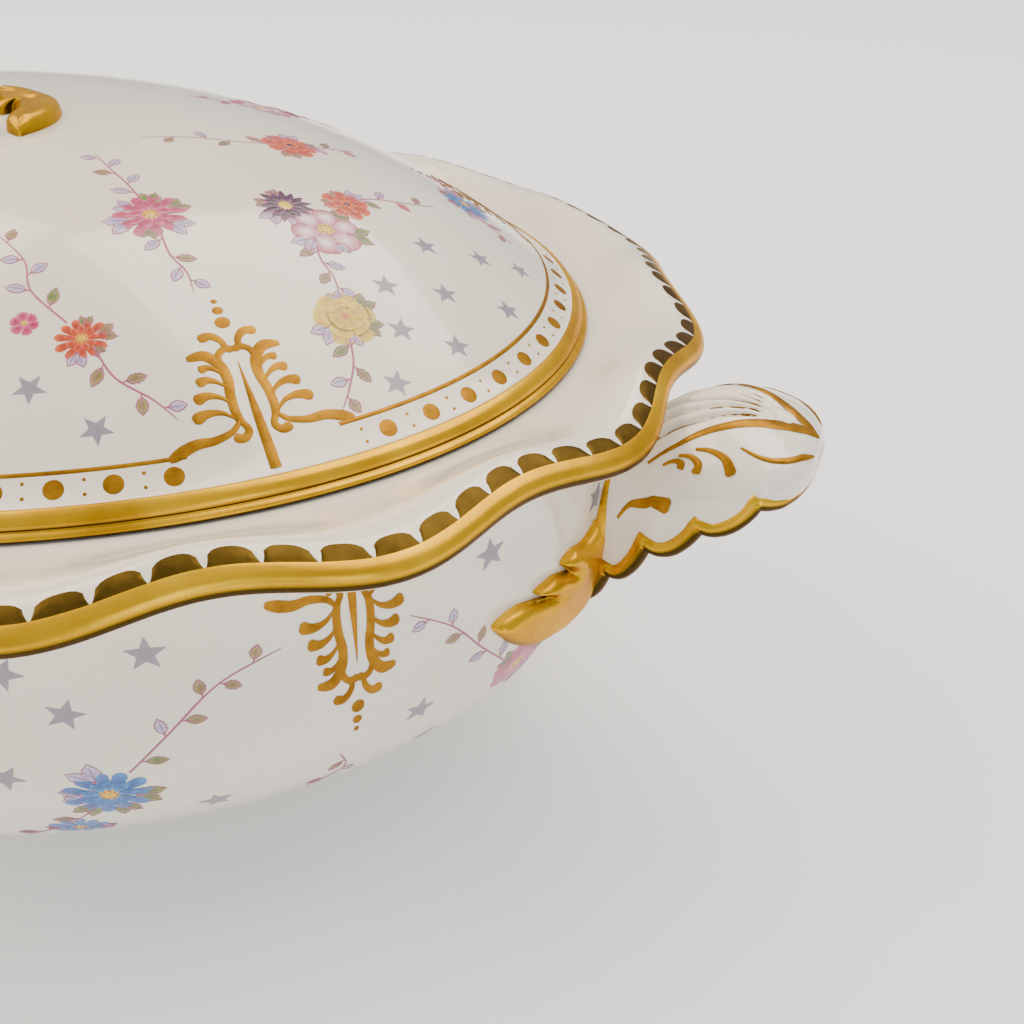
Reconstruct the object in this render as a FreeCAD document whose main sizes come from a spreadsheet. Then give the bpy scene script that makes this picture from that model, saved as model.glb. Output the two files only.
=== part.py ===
import FreeCAD, Part
import math
import os
from collections import namedtuple

# Oval covered soup tureen in glazed porcelain. Millimetres, +Z up, +X through the right handle.
# The origin is on the table, at the middle of the foot ring.

DRIVING_SIZES = {
    "cover_length": 240.0,      # the cover's edge, along X
    "cover_width": 182.5,       # the cover's edge, along Y
    "seat_height": 84.2,        # table to the ledge that the cover rests on
    "dome_rise": 36.2,          # ledge to the top of the dome
    "dome_fullness": 2.74,      # exponent of the dome's section
    "rim_width": 20.0,          # cover's edge to the outside of the lip
    "rim_rise": 3.8,            # ledge to the crest of the rim
    "lip_thickness": 4.2,
    "lobe_count": 16,
    "lobe_depth": 1.7,          # in and out, about the mean oval
    "lobe_wave": 1.1,           # up and down, about the mean height
    "lip_overhang": 10.0,       # outside of the lip to the widest part of the belly
    "belly_spread": 2.776,      # exponents of the belly's section
    "belly_drop": 3.48,
    "belly_clearance": 5.2,     # table to the underside of the belly
    "wall": 4.0,
    "luting_gap": 0.08,         # between the bowl and each piece that is luted to it
    "mouth_inset": 8.0,         # cover's edge to the bowl's mouth
    "seat_gap": 0.12,           # glaze to glaze, under the cover's edge
    "flange_gap": 1.0,          # mouth to the cover's locating flange
    "flange_depth": 7.0,
    "flange_thickness": 3.2,
    "band_width": 3.4,          # the moulded band round the cover's edge
    "band_height": 3.9,
    "foot_length": 152.0,
    "foot_width": 112.0,
    "foot_thickness": 6.0,
    "foot_taper": 2.0,          # how much further in the ring stands where it meets the belly
    "handle_reach": 25.0,       # outside of the lip to the tip of the handle
    "handle_width": 34.0,
    "handle_rise": 0.3,         # ledge to the top of the handle
    "handle_depth": 32.5,       # top of the handle to the foot of its cheeks
    "handle_wall": 5.0,
    "leaf_start": 10.0,         # middle of the handle to the stem of the sprig beside it
    "leaf_length": 28.5,
    "leaf_width": 20.0,
    "leaf_drop": 18.0,          # ledge to the stem of the sprig
    "leaf_relief": 3.0,
    "loop_width": 13.0,         # centre lines of the cover's loop
    "loop_height": 22.0,
    "loop_thickness": 5.0,
    "cover_leaf_length": 31.0,
    "cover_leaf_width": 18.0,
    "cover_leaf_relief": 3.5,
}

# worked out in the sheet from the sizes above
DERIVED_SIZES = {
    "belly_length": "=cover_length + 2 * (rim_width - lip_overhang)",
    "belly_width": "=cover_width + 2 * (rim_width - lip_overhang)",
    "belly_top": "=seat_height - 1.6 * lip_thickness",
    "foot_share": "=foot_length / belly_length",
    "foot_join": "=belly_top - (belly_top - belly_clearance)"
                 " * (1 - foot_share ^ belly_spread) ^ (1 / belly_drop) + wall / 2",
    "dome_top": "=seat_height + dome_rise",
}

POINTS_PER_LOBE = 6
BELLY_ANGLES = (8, 13, 19, 26, 34, 42, 50, 58, 66, 73, 80, 85, 90)
DOME_SHARES = (0.08, 0.18, 0.3, 0.42, 0.54, 0.65, 0.75, 0.84, 0.92, 1.0)
ARCH_STEPS = 12                 # points along the arch of one handle section

# along the reach, droop of the crest, half width, rise of the cheeks' lower edge, all as shares
HOOD_STATIONS = (
    (0.0, 0.27, 0.80, 0.0),
    (0.13, 0.20, 0.84, 0.02),
    (0.31, 0.10, 0.92, 0.27),
    (0.51, 0.02, 1.0, 0.43),
    (0.67, 0.0, 1.0, 0.55),
    (0.82, 0.07, 0.84, 0.67),
    (0.94, 0.155, 0.54, 0.72),
    (1.0, 0.24, 0.24, 0.70),
)

# a curling leaf with its stem at the origin: corners, each with the middle of the arc after it
SIDE_LEAF = (
    (0.0, 0.02), (0.27, 0.01), (0.60, -0.25), (0.66, -0.20), (0.69, -0.34), (0.86, -0.27),
    (1.0, -0.38), (0.93, -0.68), (0.72, -0.87), (0.45, -1.0), (0.16, -0.9), (0.02, -0.45),
)
COVER_LEAF = (
    (0.22, 0.14), (0.58, 0.15), (0.88, -0.22), (1.0, -0.5), (0.97, -0.8), (0.84, -0.84),
    (0.72, -0.56), (0.62, -0.66), (0.5, -0.48), (0.35, -0.26), (0.22, -0.14), (0.19, 0.0),
)

Ring = namedtuple("Ring", "half_length half_width height lobe")


def make_sheet(doc):
    sheet = doc.addObject("Spreadsheet::Sheet", "sizes")
    cells = {**DRIVING_SIZES, **DERIVED_SIZES}
    for row, (alias, value) in enumerate(cells.items(), start=1):
        sheet.set(f"A{row}", alias)
        sheet.set(f"B{row}", str(value))
        sheet.setAlias(f"B{row}", alias)
    doc.recompute()
    return sheet


# ---- the ware's surfaces, as stacks of oval rings ----

def oval_wire(sheet, ring):
    """A closed oval, waved in and out and up and down by the rim's lobes."""
    lobes = int(sheet.lobe_count)
    count = lobes * POINTS_PER_LOBE
    points = []
    for index in range(count):
        angle = 2 * math.pi * index / count
        swell = -math.cos(lobes * angle) * ring.lobe
        out = swell * sheet.lobe_depth
        points.append(FreeCAD.Vector(
            (ring.half_length + out) * math.cos(angle),
            (ring.half_width + out) * math.sin(angle),
            ring.height - swell * sheet.lobe_wave,
        ))
    curve = Part.BSplineCurve()
    knots = [float(index) for index in range(count + 1)]
    curve.interpolate(Points=points, PeriodicFlag=True, Parameters=knots)
    return Part.Wire([curve.toShape()])


def lobed_loft(sheet, rings):
    return Part.makeLoft([oval_wire(sheet, ring) for ring in rings], True, False, False, 5)


def plain_loft(rings):
    wires = []
    for ring in rings:
        centre = FreeCAD.Vector(0, 0, ring.height)
        wires.append(Part.Wire([Part.Ellipse(centre, ring.half_length, ring.half_width).toShape()]))
    return Part.makeLoft(wires, True, False, False, 5)


def edge_ring(sheet, offset, height, lobe=0.0):
    """A ring set out from the cover's edge by offset, and up from the ledge by height."""
    return Ring(sheet.cover_length / 2 + offset, sheet.cover_width / 2 + offset,
                sheet.seat_height + height, lobe)


def belly_rings(sheet, inset, angles=BELLY_ANGLES):
    """The belly's section, from low down outwards and up to its widest place."""
    depth = sheet.belly_top - sheet.belly_clearance
    rings = []
    for degrees in angles:
        angle = math.radians(degrees)
        spread = math.sin(angle) ** (2 / sheet.belly_spread)
        drop = max(math.cos(angle), 0.0) ** (2 / sheet.belly_drop) if degrees < 90 else 0.0
        rings.append(Ring((sheet.belly_length / 2 - inset) * spread,
                          (sheet.belly_width / 2 - inset) * spread,
                          sheet.belly_top - depth * drop + inset * drop, 0.0))
    return rings


def lip_rings(sheet):
    """The cove under the lip, the lip's roll, and the crest of the rim."""
    edge = sheet.rim_width
    thick = sheet.lip_thickness
    rise = sheet.rim_rise
    belly = edge - sheet.lip_overhang
    return [
        edge_ring(sheet, belly + sheet.lip_overhang * 0.05, -thick * 1.2, 0.1),
        edge_ring(sheet, belly + sheet.lip_overhang * 0.2, -thick * 0.92, 0.4),
        edge_ring(sheet, belly + sheet.lip_overhang * 0.5, -thick * 0.72, 0.8),
        edge_ring(sheet, edge - thick * 0.6, -thick * 0.58, 1.0),
        edge_ring(sheet, edge - thick * 0.18, -thick * 0.38, 1.0),
        edge_ring(sheet, edge, -thick * 0.05, 1.0),
        edge_ring(sheet, edge - thick * 0.1, thick * 0.3, 1.0),
        edge_ring(sheet, edge - thick * 0.42, rise * 0.62, 1.0),
        edge_ring(sheet, edge - thick * 0.8, rise * 0.86, 1.0),
        edge_ring(sheet, edge - thick * 1.2, rise, 1.0),
    ]


def ledge_rings(sheet):
    """The hollow ledge, falling from the crest of the rim to the flat seat."""
    crest = sheet.rim_width - sheet.lip_thickness * 1.2
    return [
        edge_ring(sheet, crest * 0.87, sheet.rim_rise * 0.98, 0.85),
        edge_ring(sheet, crest * 0.68, sheet.rim_rise * 0.74, 0.6),
        edge_ring(sheet, crest * 0.46, sheet.rim_rise * 0.36, 0.3),
        edge_ring(sheet, crest * 0.23, sheet.rim_rise * 0.08, 0.08),
        edge_ring(sheet, 0.3, 0.0),
    ]


def mouth_rings(sheet):
    """The neck under the ledge, and the mouth's softened edge."""
    mouth = -sheet.mouth_inset
    return [
        edge_ring(sheet, mouth * 0.3, -sheet.wall * 1.9),
        edge_ring(sheet, mouth * 0.62, -sheet.wall * 1.1),
        edge_ring(sheet, mouth, -sheet.wall * 0.8),
        edge_ring(sheet, mouth, -1.2),
        edge_ring(sheet, mouth + 0.8, 0.1),
        edge_ring(sheet, mouth + 1.6, 1.0),
    ]


def bowl_outside(sheet):
    return lobed_loft(sheet, belly_rings(sheet, 0.0) + lip_rings(sheet) + ledge_rings(sheet))


def bowl_inside(sheet):
    return plain_loft(belly_rings(sheet, sheet.wall, BELLY_ANGLES[:-1]) + mouth_rings(sheet))


def belly_block(sheet, inset):
    """The belly as a solid block up to the ledge, inset from its outside."""
    rings = belly_rings(sheet, inset)
    return plain_loft(rings + [rings[-1]._replace(height=sheet.seat_height)])


def dome_rings(sheet, inset, shares=DOME_SHARES):
    """The dome's section, from its top outwards and down to the moulded band."""
    half_length = sheet.cover_length / 2 - sheet.band_width - inset
    half_width = sheet.cover_width / 2 - sheet.band_width - inset
    base = sheet.seat_height + sheet.band_height
    rise = sheet.dome_rise - sheet.band_height - inset
    return [Ring(half_length * share, half_width * share,
                 base + rise * (1 - share ** sheet.dome_fullness), 0.0) for share in shares]


def band_rings(sheet):
    """The moulded band, down to the cover's flat resting edge."""
    return [
        edge_ring(sheet, -sheet.band_width * 0.42, sheet.band_height * 0.72),
        edge_ring(sheet, -sheet.band_width * 0.1, sheet.band_height * 0.36),
        edge_ring(sheet, 0.0, sheet.seat_gap + 0.6),
        edge_ring(sheet, -0.7, sheet.seat_gap),
    ]


def cover_outside(sheet):
    return plain_loft(dome_rings(sheet, 0.0) + band_rings(sheet))


def flange_block(sheet):
    """A solid oval plug inside the mouth, from the dome down to the flange's rounded end."""
    outer = -sheet.mouth_inset - sheet.flange_gap
    return plain_loft([
        edge_ring(sheet, outer, sheet.seat_gap + 1.5),
        edge_ring(sheet, outer, -sheet.flange_depth / 2),
        edge_ring(sheet, outer - 0.3, 0.8 - sheet.flange_depth),
        edge_ring(sheet, outer - 1.0, -sheet.flange_depth),
    ])


def cover_inside(sheet):
    """The hollow inside the flange and under the dome."""
    inner = -sheet.mouth_inset - sheet.flange_gap - sheet.flange_thickness
    inside = dome_rings(sheet, sheet.wall, DOME_SHARES[:-3])
    return plain_loft([
        edge_ring(sheet, inner + 0.8, -sheet.flange_depth - 0.4),
        edge_ring(sheet, inner, -sheet.flange_depth + 0.8),
        edge_ring(sheet, inner, -1.0),
        edge_ring(sheet, inner - sheet.wall, sheet.band_height * 1.1),
    ] + inside[::-1])


def dome_block(sheet, growth):
    """The dome as a solid block, grown upwards by an even thickness."""
    rings = [ring._replace(height=ring.height + growth) for ring in dome_rings(sheet, 0.0)]
    return plain_loft(rings + [rings[-1]._replace(height=sheet.seat_height - 1)])


# ---- the handles and the leaf sprigs ----

def arch_wire(distance, crest, half_width, bottom):
    """One upright section across a handle: an arch over its two cheeks, closed underneath."""
    points = []
    for step in range(ARCH_STEPS + 1):
        turn = math.pi * step / ARCH_STEPS
        rise = (crest - bottom) * math.sin(turn) ** 0.75 if 0 < step < ARCH_STEPS else 0.0
        points.append(FreeCAD.Vector(distance, half_width * math.cos(turn), bottom + rise))
    arch = Part.BSplineCurve()
    arch.interpolate(points)
    return Part.Wire([arch.toShape(), Part.makeLine(points[-1], points[0])])


def hood(sheet, inset):
    """The handle's drooping hood as a solid, from inside the belly's wall out to its tip."""
    root = sheet.belly_length / 2 - sheet.wall
    tip = sheet.cover_length / 2 + sheet.rim_width + sheet.handle_reach - inset
    top = sheet.seat_height + sheet.handle_rise - inset
    lowest = sheet.seat_height + sheet.handle_rise - sheet.handle_depth - inset
    sections = []
    for along, droop, spread, rest in HOOD_STATIONS:
        sections.append(arch_wire(root + (tip - root) * along, top - droop * sheet.handle_depth,
                                  (sheet.handle_width / 2 - inset) * spread,
                                  lowest + rest * sheet.handle_depth))
    return Part.makeLoft(sections, True, False, False, 5)


def arc_face(outline, place):
    """A flat face whose edge is one arc after another."""
    points = [place(*point) for point in outline]
    ends = points[2::2] + points[:1]
    arcs = [Part.Arc(*three).toShape() for three in zip(points[0::2], points[1::2], ends)]
    return Part.Face(Part.Wire(arcs))


def side_leaf_block(sheet):
    """A bar along X whose section is the sprig in front of the right handle."""
    def place(along, across):
        return FreeCAD.Vector(sheet.belly_length / 4,
                              -sheet.leaf_start - along * sheet.leaf_length,
                              sheet.seat_height - sheet.leaf_drop + across * sheet.leaf_width)
    return arc_face(SIDE_LEAF, place).extrude(FreeCAD.Vector(sheet.belly_length / 2, 0, 0))


def cover_leaf_block(sheet):
    """An upright bar whose section is the sprig to the right of the cover's loop."""
    def place(along, across):
        return FreeCAD.Vector(along * sheet.cover_leaf_length,
                              across * sheet.cover_leaf_width, sheet.seat_height)
    return arc_face(COVER_LEAF, place).extrude(FreeCAD.Vector(0, 0, 2 * sheet.dome_rise))


# ---- document objects ----

def add_shape(doc, name, shape):
    feature = doc.addObject("Part::Feature", name)
    feature.Shape = shape
    return feature


def add_boolean(doc, kind, name, base, tool):
    feature = doc.addObject(f"Part::{kind}", name)
    feature.Base = base
    feature.Tool = tool
    return feature


def add_mirror(doc, name, source, normal):
    feature = doc.addObject("Part::Mirroring", name)
    feature.Source = source
    feature.Normal = FreeCAD.Vector(*normal)
    return feature


def add_ellipse(doc, name, length, width, height):
    """A level ellipse whose two diameters and height are expressions of the sheet."""
    ellipse = doc.addObject("Part::Ellipse", name)
    ellipse.setExpression("MajorRadius", f"({length}) / 2")
    ellipse.setExpression("MinorRadius", f"({width}) / 2")
    ellipse.setExpression(".Placement.Base.z", height)
    return ellipse


def add_tapered_block(doc, name, inset):
    """A tapering oval block from the table up into the belly's wall, for the foot ring."""
    low = add_ellipse(doc, f"{name}_low", f"sizes.foot_length - 2 * {inset}",
                      f"sizes.foot_width - 2 * {inset}", "0 mm")
    high = add_ellipse(doc, f"{name}_high", f"sizes.foot_length - 2 * ({inset} + sizes.foot_taper)",
                       f"sizes.foot_width - 2 * ({inset} + sizes.foot_taper)", "sizes.foot_join * 1 mm")
    block = doc.addObject("Part::Loft", name)
    block.Sections = [low, high]
    block.Solid = True
    block.Ruled = True
    return block


def add_foot_ring(doc, belly):
    outside = add_tapered_block(doc, "foot_outside", "0")
    inside = add_tapered_block(doc, "foot_inside", "sizes.foot_thickness")
    band = add_boolean(doc, "Cut", "foot_band", outside, inside)
    return add_boolean(doc, "Cut", "foot_ring", band, belly)


def add_handle(doc, sheet, belly):
    outside = add_shape(doc, "hood_outside", hood(sheet, 0.0))
    inside = add_shape(doc, "hood_inside", hood(sheet, sheet.handle_wall))
    shell = add_boolean(doc, "Cut", "hood_shell", outside, inside)
    return outside, add_boolean(doc, "Cut", "right_handle", shell, belly)


def add_side_leaf(doc, sheet, belly, hood_block):
    skin = add_shape(doc, "belly_skin", belly_block(sheet, -sheet.leaf_relief))
    bar = add_shape(doc, "side_leaf_bar", side_leaf_block(sheet))
    raised = add_boolean(doc, "Common", "side_leaf_raised", bar, skin)
    seated = add_boolean(doc, "Cut", "side_leaf_seated", raised, belly)
    return add_boolean(doc, "Cut", "right_handle_front_leaf", seated, hood_block)


def add_cover_handle(doc, dome):
    """An upright oval loop whose foot is let into the top of the dome."""
    centre = "(sizes.dome_top + sizes.loop_height / 2 - sizes.loop_thickness / 2) * 1 mm"
    spine = add_ellipse(doc, "loop_spine", "sizes.loop_height", "sizes.loop_width", centre)
    spine.Placement.Rotation = FreeCAD.Rotation(FreeCAD.Vector(0, 0, 1), FreeCAD.Vector(1, 0, 0),
                                                FreeCAD.Vector(0, 1, 0), "ZXY")
    section = doc.addObject("Part::Circle", "loop_section")
    section.setExpression("Radius", "sizes.loop_thickness / 2")
    section.setExpression(".Placement.Base.z", "loop_spine.Placement.Base.z + sizes.loop_height / 2 * 1 mm")
    section.Placement.Rotation = FreeCAD.Rotation(FreeCAD.Vector(0, 1, 0), 90)
    ring = doc.addObject("Part::Sweep", "loop_ring")
    ring.Sections = [section]
    ring.Spine = (spine, ["Edge1"])
    ring.Solid = True
    return add_boolean(doc, "Cut", "cover_handle", ring, dome)


def add_cover_leaf(doc, sheet, dome, loop):
    skin = add_shape(doc, "dome_skin", dome_block(sheet, sheet.cover_leaf_relief))
    bar = add_shape(doc, "cover_leaf_bar", cover_leaf_block(sheet))
    raised = add_boolean(doc, "Common", "cover_leaf_raised", bar, skin)
    seated = add_boolean(doc, "Cut", "cover_leaf_seated", raised, dome)
    return add_boolean(doc, "Cut", "cover_right_leaf", seated, loop)


def half_turn(doc, name, source):
    """A copy of a sprig turned half round the upright axis, so that the two ends match."""
    copy = add_shape(doc, name, source.Shape.copy())
    copy.Placement = FreeCAD.Placement(FreeCAD.Vector(0, 0, 0), FreeCAD.Rotation(180, 0, 0))
    return copy


def add_bowl_pieces(doc, sheet):
    outside = add_shape(doc, "bowl_outside", bowl_outside(sheet))
    inside = add_shape(doc, "bowl_inside", bowl_inside(sheet))
    bowl = add_boolean(doc, "Cut", "bowl", outside, inside)
    belly = add_shape(doc, "belly", belly_block(sheet, -sheet.luting_gap))
    foot = add_foot_ring(doc, belly)
    hood_block, right = add_handle(doc, sheet, belly)
    front = add_side_leaf(doc, sheet, belly, hood_block)
    back = add_mirror(doc, "right_handle_back_leaf", front, (0, 1, 0))
    left = add_mirror(doc, "left_handle", right, (1, 0, 0))
    left_front = add_mirror(doc, "left_handle_front_leaf", front, (1, 0, 0))
    left_back = add_mirror(doc, "left_handle_back_leaf", back, (1, 0, 0))
    return [bowl, foot, right, front, back, left, left_front, left_back]


def add_cover_pieces(doc, sheet):
    lid = add_boolean(doc, "Fuse", "cover_solid", add_shape(doc, "cover_outside", cover_outside(sheet)),
                      add_shape(doc, "flange_block", flange_block(sheet)))
    cover = add_boolean(doc, "Cut", "cover", lid, add_shape(doc, "cover_inside", cover_inside(sheet)))
    dome = add_shape(doc, "dome", dome_block(sheet, 0.0))
    loop = add_cover_handle(doc, dome)
    leaf = add_cover_leaf(doc, sheet, dome, loop)
    doc.recompute()
    return [cover, loop, leaf, half_turn(doc, "cover_left_leaf", leaf)]


def check(doc, pieces):
    for item in doc.Objects:
        if "Invalid" in item.State or "Error" in item.State:
            raise RuntimeError(f"{item.Name} failed: {item.State}")
    for piece in pieces:
        shape = piece.Shape
        if shape.isNull() or not shape.isValid() or not shape.Solids:
            raise RuntimeError(f"{piece.Label} has no valid shape")


def main():
    doc = FreeCAD.newDocument("soup_tureen")
    sheet = make_sheet(doc)
    pieces = add_bowl_pieces(doc, sheet) + add_cover_pieces(doc, sheet)
    doc.recompute()
    check(doc, pieces)
    os.makedirs("parts", exist_ok=True)
    for piece in pieces:
        piece.Label = piece.Name
        piece.Shape.exportStep(f"parts/{piece.Label}.step")
        solids = len(piece.Shape.Solids)
        print(f"{piece.Label}: {solids} solid, {piece.Shape.Volume / 1000:.1f} cm3")


main()
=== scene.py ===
from math import (asin, atan2, copysign, cos, dist, exp, hypot, pi,
                  radians, sin, sqrt, tau,
                  degrees as in_degrees)
from bisect import bisect_right
from collections import namedtuple

import bmesh
import bpy
from mathutils import Matrix, Vector


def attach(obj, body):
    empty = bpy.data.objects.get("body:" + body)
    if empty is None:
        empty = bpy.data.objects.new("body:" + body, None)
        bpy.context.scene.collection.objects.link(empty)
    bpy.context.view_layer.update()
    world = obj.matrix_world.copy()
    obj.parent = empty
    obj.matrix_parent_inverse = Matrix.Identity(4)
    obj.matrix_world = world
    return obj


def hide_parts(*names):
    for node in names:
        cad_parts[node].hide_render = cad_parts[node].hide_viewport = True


# Oval covered soup tureen. Lengths are millimetres until a piece is finished, then metres.

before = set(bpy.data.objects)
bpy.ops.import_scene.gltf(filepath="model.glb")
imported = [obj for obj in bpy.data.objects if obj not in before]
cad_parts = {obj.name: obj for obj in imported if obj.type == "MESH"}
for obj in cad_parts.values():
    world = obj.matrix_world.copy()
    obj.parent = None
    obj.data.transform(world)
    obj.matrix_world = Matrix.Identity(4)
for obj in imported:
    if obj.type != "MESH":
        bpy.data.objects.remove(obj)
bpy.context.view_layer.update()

BOWL, COVER = "bowl_body", "cover_body"
SEAT = 84.2                     # table to the ledge that the cover rests on
EDGE = (120.0, 91.25)           # half length and half width at the cover's edge
BELLY = (130.0, 101.25)
BELLY_TOP, BELLY_LOW = 77.48, 5.2
DOME = (116.6, 87.85)
DOME_BASE, DOME_RISE, DOME_POWER = 88.1, 32.3, 2.74
BORDER = (115.0, 86.25)         # the oval of dots round the cover
LOBES, LOBE_DEPTH, LOBE_WAVE = 16, 1.7, 1.1
WALL = 4.0
ENAMEL = 0.07                   # how proud fired enamel and gilding stand
WELD = 1e-3                     # corners nearer than this are one corner
SCALLOPS, BORDER_DOTS = 112, 160
LINE_GAP, DOT_GAP = 6.7, 7.4    # degrees kept clear of line and dots each side of an ornament
STEM_LEAF = 3.5                 # length of the lowest leaf on a painted stem
HANDLE_ROOT, HANDLE_REACH = 126.5, 37.4
SHELL = 3.4                     # thickness of a handle
EDGE_ROD = 1.65                 # half thickness of the gilding rolled over a handle's edge

Ring = namedtuple("Ring", "length width height lobe")


# ---- curves and surfaces ----

def share_of(value):
    """A value held between 0 and 1."""
    return min(max(value, 0.0), 1.0)


def smooth(points, per_span, closed=False):
    """Points along one smooth curve through all the given ones."""
    count = len(points)
    spans = count if closed else count - 1
    result = []
    for span in range(spans):
        if closed:
            p = [points[(span + k - 1) % count] for k in range(4)]
        else:
            p = [points[min(max(span + k - 1, 0), count - 1)] for k in range(4)]
        for step in range(per_span):
            x = step / per_span
            result.append(tuple(
                0.5 * (2 * b + (c - a) * x + (2 * a - 5 * b + 4 * c - d) * x * x
                       + (3 * b - a - 3 * c + d) * x ** 3)
                for a, b, c, d in zip(*p)))
    if not closed:
        result.append(tuple(points[-1]))
    return result


def edge_ring(offset, height, lobe=0.0):
    return Ring(EDGE[0] + offset, EDGE[1] + offset, SEAT + height, lobe)


def belly_spread(height):
    drop = share_of((BELLY_TOP - height) / (BELLY_TOP - BELLY_LOW))
    cosine = drop ** (3.48 / 2)
    return max(1 - cosine * cosine, 0.0) ** (1 / 2.776)


def belly_ring(degrees, inset):
    angle = radians(degrees)
    spread = sin(angle) ** (2 / 2.776)
    drop = cos(angle) ** (2 / 3.48) if degrees < 90 else 0.0
    return Ring((BELLY[0] - inset) * spread, (BELLY[1] - inset) * spread,
                BELLY_TOP - (BELLY_TOP - BELLY_LOW) * drop + inset * drop, 0.0)


LIP = [edge_ring(*row) for row in (
    (10.5, -5.04, 0.1), (12, -3.86, 0.4), (15, -3.02, 0.8), (17.48, -2.44, 1),
    (19.2, -1.6, 1), (19.9, -0.21, 1), (19.5, 1.26, 1), (18.24, 2.36, 1),
    (16.64, 3.27, 1), (14.96, 3.8, 1))]
LEDGE = [edge_ring(*row) for row in (
    (13, 3.72, 0.85), (10.2, 2.81, 0.6), (6.9, 1.37, 0.3), (3.4, 0.3, 0.08), (0, 0.02))]
MOUTH = [edge_ring(*row) for row in (
    (-4, 0), (-7.2, -0.05), (-8, -0.9), (-8, -3.2), (-5, -4.6), (-2.6, -7.4))]
BAND = [edge_ring(*row) for row in (
    (-3.4, 3.9), (-2.7, 3.86), (-1.75, 3.35), (-1.05, 2.4), (-0.95, 1.75), (-1.05, 1.5),
    (-0.55, 1.35), (-0.02, 0.95), (-0.05, 0.45), (-0.7, 0.14))]


class Profile:
    """A stack of rings read by the distance along its section."""

    def __init__(self, rings, per_span, zero, outward=1.0):
        self.outward = outward
        self.rings = [Ring(*row) for row in smooth(rings, per_span)]
        total = 0.0
        self.along = [0.0]
        for a, b in zip(self.rings, self.rings[1:]):
            total += hypot(b.length - a.length, b.height - a.height)
            self.along.append(total)
        start = self.along[zero * per_span]
        self.along = [value - start for value in self.along]

    def at(self, along):
        index = min(max(bisect_right(self.along, along) - 1, 0), len(self.along) - 2)
        low, high = self.along[index], self.along[index + 1]
        share = (along - low) / max(high - low, 1e-9)
        return Ring(*(a + (b - a) * share for a, b in zip(self.rings[index], self.rings[index + 1])))

    def point(self, along, angle, lift=0.0):
        spot = oval_point(self.at(along), angle)
        if not lift:
            return spot
        across = oval_point(self.at(along + 0.05), angle) - oval_point(self.at(along - 0.05), angle)
        around = oval_point(self.at(along), angle + 0.001) - spot
        return spot + across.cross(around).normalized() * lift * self.outward


def oval_point(ring, angle):
    swell = -cos(LOBES * angle) * ring.lobe
    out = swell * LOBE_DEPTH
    return Vector(((ring.length + out) * cos(angle), (ring.width + out) * sin(angle),
                   ring.height - swell * LOBE_WAVE))


def on_dome(point, lift=0.0):
    """The spot on the cover over or under a point, raised by lift."""
    x, y = point[0] / DOME[0], point[1] / DOME[1]
    share = hypot(x, y)
    height = DOME_BASE + DOME_RISE * (1 - share ** DOME_POWER)
    steep = DOME_RISE * DOME_POWER * share ** (DOME_POWER - 2) if share > 1e-6 else 0.0
    normal = Vector((steep * x / DOME[0], steep * y / DOME[1], 1.0)).normalized()
    return Vector((point[0], point[1], height)) + normal * lift


def on_belly(point, lift=0.0):
    """The spot on the bowl's side nearest to a point, raised by lift."""
    angle = atan2(point[1] / BELLY[1], point[0] / BELLY[0])

    def spot(turn, height):
        spread = belly_spread(height)
        return Vector((BELLY[0] * spread * cos(turn), BELLY[1] * spread * sin(turn), height))
    here = spot(angle, point[2])
    around = spot(angle + 0.001, point[2]) - here
    up = spot(angle, point[2] + 0.05) - spot(angle, point[2] - 0.05)
    return here + around.cross(up).normalized() * lift


def cover_spot(share, degrees):
    angle = radians(degrees)
    return on_dome((BORDER[0] * share * cos(angle), BORDER[1] * share * sin(angle)))


def patch(surface, anchor, turn=0.0, flip=1.0, tall=1.0):
    """Maps flat (right, up) millimetres to a surface round an anchor, as seen from outside."""
    here = surface(anchor)
    normal = (surface(anchor, 1.0) - here).normalized()
    right = Vector((0, 0, 1)).cross(normal).normalized()
    up = normal.cross(right)
    cosine, sine = cos(radians(turn)), sin(radians(turn))

    def place(spot, lift=0.0):
        x, y = spot[0] * flip, spot[1] * tall
        flat = here + right * (x * cosine - y * sine) + up * (x * sine + y * cosine)
        return surface(flat, lift)
    return place


def straight(surface):
    """Takes points that are already in space."""
    return lambda spot, lift=0.0: surface(spot, lift)


# ---- mesh making ----

def add_object(name, data):
    made = bpy.data.objects.new(name, data)
    bpy.context.collection.objects.link(made)
    return made


def finish_piece(bm, name, material, body, replaced=(), recalc=True, weld=0.0):
    """Scales a mesh to metres, makes it an object and hangs it on its body."""
    if weld:
        bmesh.ops.remove_doubles(bm, verts=bm.verts, dist=weld)
    bmesh.ops.scale(bm, vec=(0.001, 0.001, 0.001), verts=bm.verts)
    if recalc:
        bmesh.ops.recalc_face_normals(bm, faces=bm.faces)
    mesh = bpy.data.meshes.new(name)
    for face in bm.faces:
        face.smooth = True
    bm.to_mesh(mesh)
    bm.free()
    mesh.materials.append(material)
    piece = add_object(name, mesh)
    if replaced:
        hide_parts(*replaced)
    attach(piece, body)
    return piece


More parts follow.
